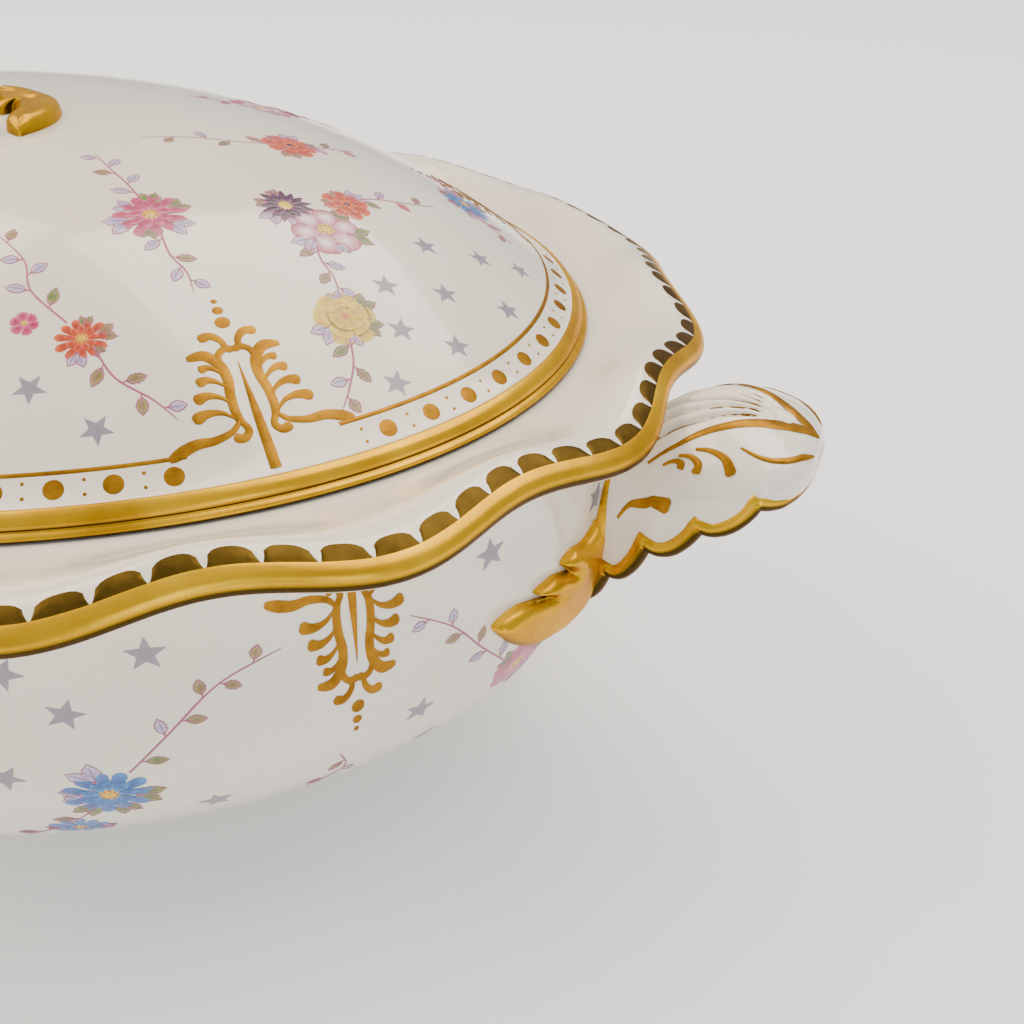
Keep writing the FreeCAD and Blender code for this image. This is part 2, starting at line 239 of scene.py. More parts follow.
def lathe(rings, steps):
    """Spins a section round the upright axis, then pulls each ring to its lobed oval."""
    bm = bmesh.new()
    width = bm.verts.layers.float.new("half_width")
    lobe = bm.verts.layers.float.new("lobe")
    section = []
    for ring in rings:
        vert = bm.verts.new((ring.length, 0.0, ring.height))
        vert[width] = ring.width
        vert[lobe] = ring.lobe
        section.append(vert)
    edges = [bm.edges.new(pair) for pair in zip(section, section[1:])]
    bmesh.ops.spin(bm, geom=section + edges, cent=(0, 0, 0), axis=(0, 0, 1), dvec=(0, 0, 0),
                   angle=tau, steps=steps, use_merge=True, use_duplicate=False)
    bmesh.ops.remove_doubles(bm, verts=bm.verts, dist=1e-4)
    for vert in bm.verts:
        angle = atan2(vert.co.y, vert.co.x)
        ring = Ring(hypot(vert.co.x, vert.co.y), vert[width], vert.co.z, vert[lobe])
        vert.co = oval_point(ring, angle)
    return bm


def sheet(bm, columns, rows, shape):
    """A grid whose every corner is placed by shape(u, v), both from 0 to 1."""
    made = bmesh.ops.create_grid(bm, x_segments=columns, y_segments=rows, size=0.5)["verts"]
    for vert in made:
        vert.co = shape(vert.co.x + 0.5, vert.co.y + 0.5)
    return made


def strip(bm, profile, start, end, columns, rows, low, turns=(0.0, tau)):
    """A band of gilding between two distances along a section, sunk to low at its edges."""
    def shape(u, v):
        lift = low if v in (0.0, 1.0) else ENAMEL
        return profile.point(start + (end - start) * v, turns[0] + (turns[1] - turns[0]) * u, lift)
    sheet(bm, columns, rows, shape)


def gild(bm, name, gold, body, replaced=(), weld=WELD):
    finish_piece(bm, name, gold, body, replaced, weld=weld)


def facing(bm, made, outward):
    """Turns one shape's faces to look the way outward gives at its middle."""
    faces = list({face for vert in made for face in vert.link_faces})
    middle = sum((vert.co for vert in made), Vector()) / len(made)
    total = Vector()
    for face in faces:
        face.normal_update()
        total += face.normal * face.calc_area()
    if total.dot(outward(middle)) < 0:
        bmesh.ops.reverse_faces(bm, faces=faces)


class Paint:
    """One colour of enamel laid on the ware: petals, leaves, dots and brush strokes."""

    def __init__(self, surface):
        self.surface = surface
        self.bm = bmesh.new()
        self.tone = self.bm.verts.layers.float.new("tone")

    def outward(self, middle):
        return self.surface(middle, 1.0) - self.surface(middle)

    def blob(self, place, outline, heart=None, lift=ENAMEL, base=0.01, tones=(0.0, 1.0)):
        """A shape with a closed outline, low at its edge and full in the middle."""
        made = bmesh.ops.create_circle(self.bm, cap_ends=True, cap_tris=True, segments=len(outline),
                                       radius=1.0)["verts"]
        hub = next(vert for face in made[0].link_faces for vert in face.verts
                   if vert.co.length < 0.5)
        rim = sorted((vert for vert in made if vert != hub),
                     key=lambda vert: atan2(vert.co.y, vert.co.x))
        centre = heart or (sum(p[0] for p in outline) / len(outline),
                           sum(p[1] for p in outline) / len(outline))
        reach = [dist(point, centre) for point in outline]
        for vert, point, far in zip(rim, outline, reach):
            vert.co = place(point, base)
            vert[self.tone] = tones[0] + (tones[1] - tones[0]) * far / max(reach)
        hub.co = place(centre, lift)
        hub[self.tone] = tones[0]
        facing(self.bm, rim + [hub], self.outward)

    def disc(self, place, centre, radius, lift=ENAMEL, segments=12, tone=0.5):
        outline = [(centre[0] + radius * cos(tau * k / segments),
                    centre[1] + radius * sin(tau * k / segments)) for k in range(segments)]
        self.blob(place, outline, centre, lift, tones=(tone, tone))

    def stroke(self, place, path, width, taper=(0.15, 0.15), lift=ENAMEL, per_span=5, tone=0.5):
        """A brush stroke along a smooth path. width is one value, or one for each end."""
        narrow, wide = width if isinstance(width, tuple) else (width, width)
        line = smooth(path, per_span)
        count = len(line) - 1

        def shape(u, v):
            where = min(int(u * count + 0.5), count)
            here = Vector(line[where])
            ahead = Vector(line[min(where + 1, count)]) - Vector(line[max(where - 1, 0)])
            swell = min(1.0, (u + 0.02) / max(taper[0], 1e-3)) * min(1.0, (1.02 - u) / max(taper[1], 1e-3))
            half = (narrow + (wide - narrow) * u ** 1.5) / 2 * sqrt(max(swell, 0.05))
            raised = lift if 0.2 < v < 0.8 else 0.01
            if len(here) == 2:
                side = Vector((-ahead.y, ahead.x)).normalized()
                spot = here + side * (2 * v - 1) * half
                return place(spot, raised)
            normal = self.outward(here).normalized()
            side = normal.cross(ahead).normalized()
            return place(here + side * (2 * v - 1) * half, raised)
        made = sheet(self.bm, count, 2, shape)
        for vert in made:
            vert[self.tone] = tone
        facing(self.bm, made, self.outward)

    def done(self, name, material, body):
        if not self.bm.verts:
            self.bm.free()
            return None
        return finish_piece(self.bm, name, material, body, recalc=False)


# ---- materials ----

def colour(code):
    """An sRGB hex colour as linear light."""
    values = [int(code[k:k + 2], 16) / 255 for k in (1, 3, 5)]
    return tuple(v / 12.92 if v <= 0.04045 else ((v + 0.055) / 1.055) ** 2.4 for v in values) + (1.0,)


def set_inputs(tree, node, inputs):
    for name, value in inputs.items():
        if isinstance(value, bpy.types.NodeSocket):
            tree.links.new(value, node.inputs[name])
        else:
            node.inputs[name].default_value = value


def add_node(tree, kind, inputs=None, **settings):
    """A node with its settings, and its inputs set or linked."""
    node = tree.nodes.new(kind)
    for name, value in settings.items():
        setattr(node, name, value)
    set_inputs(tree, node, inputs or {})
    return node


def blank(name):
    material = bpy.data.materials.new(name)
    material.use_nodes = True
    tree = material.node_tree
    tree.nodes.clear()
    shader = tree.nodes.new("ShaderNodeBsdfPrincipled")
    output = tree.nodes.new("ShaderNodeOutputMaterial")
    tree.links.new(shader.outputs[0], output.inputs[0])
    return material, tree, shader


def noise_field(tree, size_mm, detail=3.0, stretch=(1.0, 1.0, 1.0)):
    """Noise whose patches are about size_mm across."""
    coords = add_node(tree, "ShaderNodeTexCoord")
    mapping = add_node(tree, "ShaderNodeMapping", {"Vector": coords.outputs["Object"], "Scale": stretch})
    field = add_node(tree, "ShaderNodeTexNoise", {"Vector": mapping.outputs[0], "Scale": 1000 / size_mm,
                                                  "Detail": detail, "Roughness": 0.55})
    return field.outputs["Fac"]


def ramp(tree, value, stops):
    node = add_node(tree, "ShaderNodeValToRGB", {"Fac": value})
    elements = node.color_ramp.elements
    while len(elements) < len(stops):
        elements.new(0.5)
    for element, (position, shade) in zip(elements, stops):
        element.position = position
        element.color = shade
    return node.outputs["Color"]


def bump(tree, height, depth_mm, strength=1.0):
    node = add_node(tree, "ShaderNodeBump", {"Height": height, "Distance": depth_mm / 1000,
                                             "Strength": strength})
    return node.outputs["Normal"]


def porcelain_glaze():
    """Clear gloss glaze over warm white porcelain: sharp lights over a soft, faintly uneven body."""
    material, tree, shader = blank("porcelain_glaze")
    cloud = noise_field(tree, 38.0, 4.0)
    shade = ramp(tree, cloud, ((0.3, colour("#EFE3CC")), (0.7, colour("#F7EEDC"))))
    ripple = noise_field(tree, 9.0, 2.0)
    set_inputs(tree, shader, {"Base Color": shade, "Normal": bump(tree, ripple, 0.05), "Roughness": 0.16,
                              "IOR": 1.52, "Coat Weight": 0.6, "Coat Roughness": 0.06})
    return material


def gilding(name, dark, light, roughness, rub_mm, depth_mm, shade_slopes=(-0.12, 0.22)):
    """Fired gold, faintly streaked by burnishing, with painted shade: faces that turn downward are mixed
    towards dark brown.
    """
    material, tree, shader = blank(name)
    rub = noise_field(tree, rub_mm, 5.0)
    shade = ramp(tree, rub, ((0.3, colour(dark)), (0.72, colour(light))))
    # painted shade: the further a face turns downward, the more its colour is mixed towards dark brown
    # #352A06
    slope = add_node(tree, "ShaderNodeSeparateXYZ",
                     {0: add_node(tree, "ShaderNodeNewGeometry").outputs["Normal"]}).outputs["Z"]
    under = add_node(tree, "ShaderNodeMapRange", {"Value": slope, "From Min": shade_slopes[0], "From Max": shade_slopes[1]})
    shade = add_node(tree, "ShaderNodeMix", {"Factor": under.outputs[0], "A": colour("#352A06"), "B": shade},
                     data_type="RGBA").outputs[2]
    fine = noise_field(tree, rub_mm * 0.35, 3.0, (1.0, 1.0, 3.0))
    rough = add_node(tree, "ShaderNodeMapRange", {"Value": fine, "To Min": roughness * 0.7,
                                                  "To Max": roughness * 1.4})
    set_inputs(tree, shader, {"Base Color": shade, "Roughness": rough.outputs[0],
                              "Normal": bump(tree, fine, depth_mm), "Metallic": 0.6,
                              "Specular Tint": colour("#E8B850")})
    return material


def enamel(name, heart, edge):
    """Overglaze enamel, deeper where the brush was loaded and thin at the edge of the stroke."""
    material, tree, shader = blank(name)
    tone = add_node(tree, "ShaderNodeAttribute", attribute_name="tone").outputs["Fac"]
    wash = noise_field(tree, 1.6, 4.0)
    mixed = add_node(tree, "ShaderNodeMath", {0: wash, 1: 0.5}, operation="SUBTRACT").outputs[0]
    blend = add_node(tree, "ShaderNodeMath", {0: mixed, 1: 0.9, 2: tone}, operation="MULTIPLY_ADD").outputs[0]
    shade = ramp(tree, blend, ((0.05, colour(heart)), (0.95, colour(edge))))
    set_inputs(tree, shader, {"Base Color": shade, "Normal": bump(tree, wash, 0.02), "Roughness": 0.32,
                              "Coat Weight": 0.35, "Coat Roughness": 0.1})
    return material


def bare_biscuit():
    """Unglazed fired clay, matt and very fine grained, on the foot's resting face."""
    material, tree, shader = blank("bare_biscuit")
    grain = noise_field(tree, 0.6, 4.0)
    shade = ramp(tree, grain, ((0.3, colour("#D8CDBB")), (0.7, colour("#E8DFD0"))))
    set_inputs(tree, shader, {"Base Color": shade, "Normal": bump(tree, grain, 0.05), "Roughness": 0.85})
    return material


GLAZE = porcelain_glaze()
# Every gold here carries painted shade, dark brown on downward faces; the last pair of numbers, where given,
# sets the slopes over which it comes in.
GOLD = gilding("burnished_gold", "#B98508", "#EFB912", 0.25, 14.0, 0.03)
BRUSHED_GOLD = gilding("painted_gold", "#7E5510", "#B07C1C", 0.36, 3.0, 0.03, (-0.95, -0.5))
LEAF_GOLD = gilding("leaf_gold", "#B98508", "#EFB912", 0.25, 14.0, 0.03, (-0.8, -0.4))
# Matt painted gold for the rim's scallops, browner than the burnished lip, with its colour darkened much
# further as a painted dark reflection.
SCALLOP_GOLD_DARKENED = gilding("scallop_gold_painted_reflection", "#3A2C0C", "#5C4718", 0.3, 5.0, 0.03)
BISCUIT = bare_biscuit()
ENAMELS = {
    "star": enamel("star_grey", "#7F7883", "#A1979F"),
    "pink": enamel("rose_pink", "#A41244", "#D65583"),
    "orange": enamel("coral_orange", "#A92706", "#E25F22"),
    "purple": enamel("plum_purple", "#33072A", "#6A1F54"),
    "yellow": enamel("primrose_yellow", "#C08E06", "#EBCB22"),
    "blue": enamel("sky_blue", "#0B4894", "#3C8CD0"),
    "green": enamel("leaf_green", "#4A6A1A", "#94A84C"),
    "olive": enamel("olive_leaf", "#7C6C2A", "#B5A468"),
    "lavender": enamel("lavender_leaf", "#9D99C0", "#D9D6E6"),
    "blush": enamel("blush_pink", "#F4DEDC", "#B82458"),
    "line": enamel("crimson_line", "#A03A62", "#B85A7E"),
    "heart": enamel("saffron_heart", "#B06A10", "#F0C020"),
}


# ---- the ware ----

def bowl_rings():
    outside = [belly_ring(90 * (step / 30) ** 1.15, 0.0) for step in range(31)]
    rim = [Ring(*row) for row in smooth(outside[-2:] + LIP + LEDGE + MOUTH, 5)][5:]
    inside = [belly_ring(88 * (1 - step / 26) ** 1.15, WALL) for step in range(27)]
    neck = [Ring(*row) for row in smooth([rim[-1]] + inside[:3], 4)]
    return outside[:-1] + rim[:-1] + neck[:-1] + inside[2:]


def make_bowl():
    bm = lathe(bowl_rings(), 320)
    finish_piece(bm, "glazed_bowl", GLAZE, BOWL, ["bowl"])


def cover_rings():
    outside = []
    for step in range(33):
        share = (step / 32) ** 0.9
        outside.append(Ring(DOME[0] * share, DOME[1] * share,
                            DOME_BASE + DOME_RISE * (1 - share ** DOME_POWER), 0.0))
    band = [Ring(*row) for row in smooth(BAND, 5)]
    flange = [Ring(*row) for row in smooth([edge_ring(*row) for row in (
        (-0.7, 0.14), (-4.5, 0.16), (-8.6, 0.1), (-9.0, -1.0), (-9.0, -5.6), (-9.6, -6.7),
        (-10.6, -7.0), (-11.7, -6.5), (-12.2, -5.4), (-12.2, -1.0), (-14.5, 2.6))], 4)]
    inside = []
    for step in range(25):
        share = 0.86 * (1 - step / 24)
        inside.append(Ring((DOME[0] - WALL) * share, (DOME[1] - WALL) * share,
                           DOME_BASE + (DOME_RISE - WALL) * (1 - share ** DOME_POWER), 0.0))
    return outside + band[1:] + flange[1:] + inside


def make_cover():
    bm = lathe(cover_rings(), 240)
    finish_piece(bm, "glazed_cover", GLAZE, COVER, ["cover"])


def make_foot():
    rings = [Ring(length, length - 20.0, height, 0.0) for length, height in (
        (70.5, 0.3), (70.0, 1.0), (69.3, 5.0), (68.6, 9.3), (74.0, 9.3), (74.6, 6.0),
        (75.6, 2.0), (76.0, 1.0), (75.5, 0.2), (74.6, 0.0), (71.4, 0.0), (70.5, 0.3))]
    bm = lathe([Ring(*row[:2], max(row[2], 0.0), 0.0) for row in smooth(rings, 3)], 160)
    foot = finish_piece(bm, "foot_ring_glazed", GLAZE, BOWL, ["foot_ring"])
    foot.data.materials.append(BISCUIT)
    for face in foot.data.polygons:
        if face.center.z < 0.00012:
            face.material_index = 1


# ---- handles ----

HOOD_CREST = ((0, 76), (0.13, 78.2), (0.25, 79.6), (0.38, 82.6), (0.55, 84.2), (0.7, 83.9),
              (0.85, 82), (0.93, 80.6), (0.98, 79.2), (1, 78))
HOOD_HALF = ((0, 13.2), (0.13, 14), (0.31, 15.4), (0.5, 16.8), (0.66, 16.9), (0.74, 16.7),
             (0.82, 15.8), (0.9, 13.6), (0.95, 10.8), (0.98, 7.9), (1, 4.8))
# the notches in the cheek's lower edge, and how far the lobe after each one hangs
HOOD_NOTCHES = ((0, 49.5, 4.6), (0.15, 55.4, 4.4), (0.335, 62.8, 3.7), (0.57, 68.6, 3),
                (0.805, 74.2, 1.2), (1.01, 75.6, 0))


HOOD_SIDE = ((0, 48), (0.15, 53), (0.335, 60.2), (0.57, 66.8), (0.805, 72.8), (1, 75.4))


def hood_edge(along):
    index = sum(along >= row[0] for row in HOOD_NOTCHES[1:-1])
    (start, low, hang), (end, high, _) = HOOD_NOTCHES[index:index + 2]
    share = (along - start) / (end - start)
    return low + (high - low) * share - hang * sin(pi * share) ** 0.6


def read_curve(rows, along):
    """The value at a share of the reach, on a curve through rows of (share, value)."""
    index = min(max(sum(along >= row[0] for row in rows) - 1, 0), len(rows) - 2)
    near = [rows[min(max(index + k, 0), len(rows) - 1)] for k in (-1, 0, 1, 2)]
    share = (along - near[1][0]) / (near[2][0] - near[1][0])
    a, b, c, d = (row[1] for row in near)
    return 0.5 * (2 * b + (c - a) * share + (2 * a - 5 * b + 4 * c - d) * share ** 2
                  + (3 * b - a - 3 * c + d) * share ** 3)


def flute_zone(along):
    """How far down each side the flutes reach: they fan out of the root and run out at the tip."""
    return max(0.72 - 0.74 * along, 0.05) * min(1.0, 0.35 + 2.2 * along)


def hood_point(along, across):
    """A spot on the right handle. across runs from -1, the front cheek's edge, to 1."""
    along = share_of(along)
    crest = read_curve(HOOD_CREST, along)
    half = read_curve(HOOD_HALF, along)
    low = read_curve(HOOD_SIDE, along)
    turn = pi / 2 * (1 - abs(across))
    zone = flute_zone(along)
    fan = across / zone
    fade = share_of((0.96 - abs(fan)) / 0.2) * min(1.0, along * 4.0, max(0.9 - along, 0.0) * 5.0)
    flute = 1.9 * (abs(sin(fan * pi / 0.32)) ** 0.6 - 1.0) * fade
    rise = ((crest - low) * sin(turn) ** 0.75
            + (hood_edge(along) - low) * (1 - sin(turn)) ** 4)
    out = cos(turn)
    spot = Vector((HANDLE_ROOT + HANDLE_REACH * along, copysign(half * out, across), low + rise))
    normal = Vector((0.25 * along, copysign(out, across), sin(turn) + 0.01)).normalized()
    return spot + normal * flute


def hood_normal(along, across):
    a = hood_point(min(along + 0.01, 1.0), across) - hood_point(max(along - 0.01, 0.0), across)
    b = hood_point(along, min(across + 0.02, 1.0)) - hood_point(along, max(across - 0.02, -1.0))
    normal = a.cross(b).normalized()
    return normal if normal.dot(Vector((0.3, across, 1.0))) > 0 else -normal


def end_turn(point, side):
    """The left end is the right one turned half round."""
    return point if side > 0 else Vector((-point.x, -point.y, point.z))


def make_handle(side, name):
    bm = bmesh.new()
    sheet(bm, 56, 96, lambda u, v: end_turn(hood_point(1 - (1 - u) ** 1.5, 2 * v - 1), side))
    bmesh.ops.recalc_face_normals(bm, faces=bm.faces)
    middle = [face for face in bm.faces if abs(face.calc_center_median().y) < 2]
    if sum(face.normal.z for face in middle) < 0:
        bmesh.ops.reverse_faces(bm, faces=bm.faces)
    bmesh.ops.solidify(bm, geom=bm.faces[:], thickness=SHELL)
    piece = finish_piece(bm, f"{name}_shell", GLAZE, BOWL, [name])
    softer = piece.modifiers.new("softened", "SUBSURF")
    softer.levels = softer.render_levels = 1


# ---- looks on the rim and the cover's band ----

RIM = Profile(LIP + LEDGE, 10, 9, -1.0)
COVER_EDGE = Profile([Ring(*row) for row in cover_rings()[27:33]] + BAND[1:], 6, 5)


def make_rim_gilding():
    lip = bmesh.new()
    strip(lip, RIM, -8.3, -3.0, 960, 12, -0.05)
    gild(lip, "lip_gilding", GOLD, BOWL)
    scallops = bmesh.new()
    for index in range(SCALLOPS):
        def fan(u, v):
            across = 2 * u - 1
            depth = 3.1 * sqrt(max(1 - abs(across) ** 2.6, 0.0))
            angle = tau * (index + 0.5 + across * 0.495) / SCALLOPS
            lift = 0.01 if v in (0.0, 1.0) or u in (0.0, 1.0) else ENAMEL
            return RIM.point(-3.5 + depth * v, angle, lift)
        sheet(scallops, 10, 3, fan)
    # the scallops' gold is darkened as a painted dark reflection
    gild(scallops, "rim_scallops", SCALLOP_GOLD_DARKENED, BOWL)


ORNAMENT_ANGLES = (-36.3, 36.3, 143.7, 216.3)


def make_cover_gilding():
    band = bmesh.new()
    strip(band, COVER_EDGE, 0.4, 7.2, 400, 26, -0.03)
    gild(band, "cover_band_gilding", GOLD, COVER)
    line = bmesh.new()
    for start, end in zip(ORNAMENT_ANGLES, ORNAMENT_ANGLES[1:] + (323.7,)):
        turns = radians(start + LINE_GAP), radians(end - LINE_GAP)
        strip(line, COVER_EDGE, -5.5, -4.75, 100, 3, 0.0, turns)
    gild(line, "cover_inner_line", BRUSHED_GOLD, COVER, weld=0.0)


# ---- painted decoration ----

class Palette:
    """The enamels and gold in use on one body, each gathered into one piece."""

    def __init__(self, surface):
        self.surface = surface
        self.paints = {}

    def __getitem__(self, shade):
        if shade not in self.paints:
            self.paints[shade] = Paint(self.surface)
        return self.paints[shade]

    def done(self, prefix, body):
        for shade, paint in self.paints.items():
            material = BRUSHED_GOLD if shade == "gold" else ENAMELS[shade]
            paint.done(f"{prefix}_{material.name}", material, body)


def heading(surface, anchor, towards):
    """A patch whose up direction points from the anchor towards another point."""
    here = surface(anchor)
    normal = (surface(anchor, 1.0) - here).normalized()
    up = towards - anchor
    up = (up - normal * up.dot(normal)).normalized()
    right = up.cross(normal)

    def place(spot, lift=0.0):
        return surface(here + right * spot[0] + up * spot[1], lift)
    return place


def mirrored_outline(rows, length, width, tip):
    """A closed outline from (share of length, share of half width) rows, the same on both sides."""
    left = [(-half * width / 2, share * length) for share, half in rows]
    right = [(-x, y) for x, y in reversed(left)]
    return left + [(0.0, tip * length)] + right


LEAF_ROWS = ((0, 0.1), (0.16, 0.55), (0.3, 0.95), (0.36, 0.72), (0.52, 1), (0.6, 0.76),
             (0.74, 0.72), (0.82, 0.42))
PLAIN_LEAF_ROWS = ((0, 0.1), (0.2, 0.7), (0.45, 1), (0.7, 0.75), (0.88, 0.35))
PETAL_ROWS = ((0, 0.3), (0.3, 0.66), (0.6, 0.96), (0.8, 0.98), (0.93, 0.6))
POINTED_ROWS = ((0, 0.3), (0.3, 0.8), (0.55, 1), (0.8, 0.62))


def leaf(palette, place, length, width, shade, plain=False):
    """A leaf with a fine crimson outline and midrib."""
    outline = mirrored_outline(PLAIN_LEAF_ROWS if plain else LEAF_ROWS, length, width, 1.0)
    palette[shade].blob(place, outline, (0.0, length * 0.45))
    line = palette["line"]
    line.stroke(place, outline + outline[:1], 0.2, (0.01, 0.01), ENAMEL * 1.3, 1)
    line.stroke(place, [(0.0, 0.0), (0.1, length * 0.45), (0.0, length * 0.85)], 0.22, (0.05, 0.4),
                ENAMEL * 1.6, 3)


def turned(x, y, angle):
    """A spot turned clockwise round the origin."""
    return x * cos(angle) + y * sin(angle), y * cos(angle) - x * sin(angle)


def petals(palette, place, shade, count, inner, outer, fullness, rows=PETAL_ROWS, start=0.0, lift=0.0):
    """A ring of petals round the middle of a flower."""
    width = tau * (inner + outer) / 2 / count * fullness
    for index in range(count):
        turn = tau * (index + start) / count
        reach = outer * (1 + 0.07 * sin(5.1 * index + count))
        outline = mirrored_outline(rows, reach - inner, width, 1.0)
        petal = [turned(x, y + inner, turn) for x, y in outline]
        middle = turned(0.0, inner + (reach - inner) * 0.5, turn)
        palette[shade].blob(place, petal, middle, ENAMEL * 1.6 + lift, 0.02 + lift)


def heart(palette, place, radius, shade="heart", specks="orange", lift=0.22):
    """The middle of a flower: a full disc with a ring of stamens."""
    palette[shade].disc(place, (0.0, 0.0), radius, lift, 14, 0.8)
    for index in range(8):
        turn = tau * index / 8
        spot = (radius * 0.62 * cos(turn), radius * 0.62 * sin(turn))
        palette[specks].disc(place, spot, radius * 0.16, lift + 0.06, 6, 0.3)


def daisy(palette, place, size, shade):
    petals(palette, place, shade, 11, size * 0.22, size, 1.0)
    petals(palette, place, shade, 9, size * 0.2, size * 0.66, 0.9, POINTED_ROWS, 0.4, 0.07)
    heart(palette, place, size * 0.27)


def wild_rose(palette, place, size, shade):
    petals(palette, place, shade, 6, size * 0.18, size, 1.25)
    heart(palette, place, size * 0.24, "yellow", "line")


def aster(palette, place, size, shade):
    petals(palette, place, shade, 15, size * 0.2, size, 1.1, POINTED_ROWS)
    petals(palette, place, shade, 12, size * 0.2, size * 0.7, 1.0, POINTED_ROWS, 0.5, 0.06)
    heart(palette, place, size * 0.38, "yellow", "line")


def poppy(palette, place, size, shade):
    petals(palette, place, shade, 8, size * 0.3, size, 1.15)
    petals(palette, place, shade, 6, size * 0.12, size * 0.66, 1.1, PETAL_ROWS, 0.3, 0.07)
    palette["purple"].disc(place, (0.0, 0.0), size * 0.14, ENAMEL * 4, 10, 0.0)
    for index in range(10):
        turn = tau * index / 10
        spot = (size * 0.26 * cos(turn), size * 0.26 * sin(turn))
        palette["heart"].disc(place, spot, size * 0.05, ENAMEL * 4, 6, 0.3)


def cabbage_rose(palette, place, size, shade):
    petals(palette, place, shade, 6, size * 0.25, size, 1.35)
    petals(palette, place, shade, 5, size * 0.12, size * 0.78, 1.3, PETAL_ROWS, 0.35, 0.08)
    petals(palette, place, shade, 4, size * 0.08, size * 0.5, 1.3, PETAL_ROWS, 0.1, 0.17)
    heart(palette, place, size * 0.24, "orange", "heart", 0.36)
    for radius, start in ((0.34, 0.4), (0.56, 2.2), (0.76, 4.4)):
        arc = [(size * radius * cos(start + 0.35 * k), size * radius * sin(start + 0.35 * k))
               for k in range(6)]
        palette["olive"].stroke(place, arc, 0.28, (0.4, 0.4), ENAMEL * 4.4, 3)


def nosegay(palette, place, size, shades):
    """The leaves that stand out from behind a flower."""
    for index, shade in enumerate(shades):
        if not shade:
            continue
        turn = tau * (index + 0.5) / len(shades)
        root = (size * 0.6 * sin(turn), size * 0.6 * cos(turn))
        length = size * (0.6 + 0.14 * sin(3.7 * index + size))
        for spread in (-0.5, 0.36):
            aim = turn + spread + 0.2 * sin(5 * index + size)

            def spot(p, lift=0.0):
                x, y = turned(p[0], p[1], aim)
                return place((root[0] + x, root[1] + y), lift)
            leaf(palette, spot, length, length * 0.62, shade)


def stem(palette, points, shades):
    """A crimson stem through points in space, with small leaves either side in turn."""
    surface = palette.surface
    line = smooth([tuple(point) for point in points], 6)
    palette["line"].stroke(straight(surface), points, 0.34, (0.02, 0.5), ENAMEL * 1.2, 6)
    for index, shade in enumerate(shades):
        share = (index + 1) / (len(shades) + 1)
        at = min(int(share * (len(line) - 1)), len(line) - 2)
        here, ahead = Vector(line[at]), Vector(line[at + 1])
        normal = (surface(here, 1.0) - surface(here)).normalized()
        side = normal.cross(ahead - here).normalized() * (1 if index % 2 else -1)
        aim = (ahead - here).normalized() * 0.75 + side
        root = here + aim.normalized() * 0.7
        palette["line"].stroke(straight(surface), [here, here + aim.normalized() * 1.0], 0.22,
                               (0.02, 0.02), ENAMEL * 1.2, 3)
        leaf(palette, heading(surface, root, root + aim), STEM_LEAF * (1.0 - 0.35 * share), STEM_LEAF * 0.5,
             shade, plain=index % 3 != 1)


def star(palette, place, size):
    outline = []
    for index in range(10):
        radius = size if index % 2 == 0 else size * 0.42
        outline.append((radius * sin(tau * index / 10), radius * cos(tau * index / 10)))
    palette["star"].blob(place, outline, (0.0, 0.0), ENAMEL * 0.8, 0.01, (0.4, 0.6))


SCROLLS = (
    (((2.5, 3.6), (4, 1.9), (6.8, 1.2), (9.8, 1.4), (13.6, 0.4)), (0.8, 2.2)),
    (((2.5, 3.2), (1.9, 1.4), (2.9, 0.4), (4.2, 1)), (1, 1.7)),
    (((1.5, 1.2), (2.7, 3.6), (2.8, 7), (2.3, 10.2), (2.7, 13), (4.4, 15.2), (6.9, 15.2)), (1.3, 2.1)),
    (((2.9, 3.4), (4.6, 5), (6.8, 5.5), (8.8, 4.9)), (0.4, 2.4)),
    (((2.8, 6), (4.2, 7.6), (6, 8.3), (7.8, 7.9)), (0.4, 2.3)),
    (((2.5, 8.6), (3.8, 10.1), (5.2, 10.9), (6.7, 10.6)), (0.4, 2.1)),
    (((2.4, 10.8), (3.5, 12.3), (4.6, 13), (5.8, 12.8)), (0.4, 1.8)),
    (((2.7, 13.2), (2.3, 14.9), (1.1, 15.7), (-0.1, 15.2)), (1, 1.5)),
    (((0.9, 15.4), (1.3, 17.3), (2.6, 18.6), (4.3, 18.2)), (0.9, 2)),
)
SPEAR = ((0, -5), (0, 0), (0, 4), (0, 8.5), (0, 13))


def ornament(palette, place):
    """A lyre of gold scrolls like fat commas round a spear, topped by a row of dots."""
    gold = palette["gold"]
    for path, widths in SCROLLS:
        for flip in (-1.0, 1.0):
            line = [(x * flip, y) for x, y in path]
            gold.stroke(place, line, widths, (0.2, 0.16), ENAMEL * 1.5, 7)
    gold.stroke(place, SPEAR, (1.7, 0.5), (0.01, 0.5), ENAMEL * 1.9, 5)
    for height, radius in ((20.8, 1.2), (23.4, 0.85), (25.4, 0.5)):
        gold.disc(place, (0.0, height), radius, ENAMEL * 1.9)


GRN, LAV, OLV = "green", "lavender", "olive"

# A sprig is its stem and its leaves' shades. A bloom is its kind, shade, place, size and leaves.

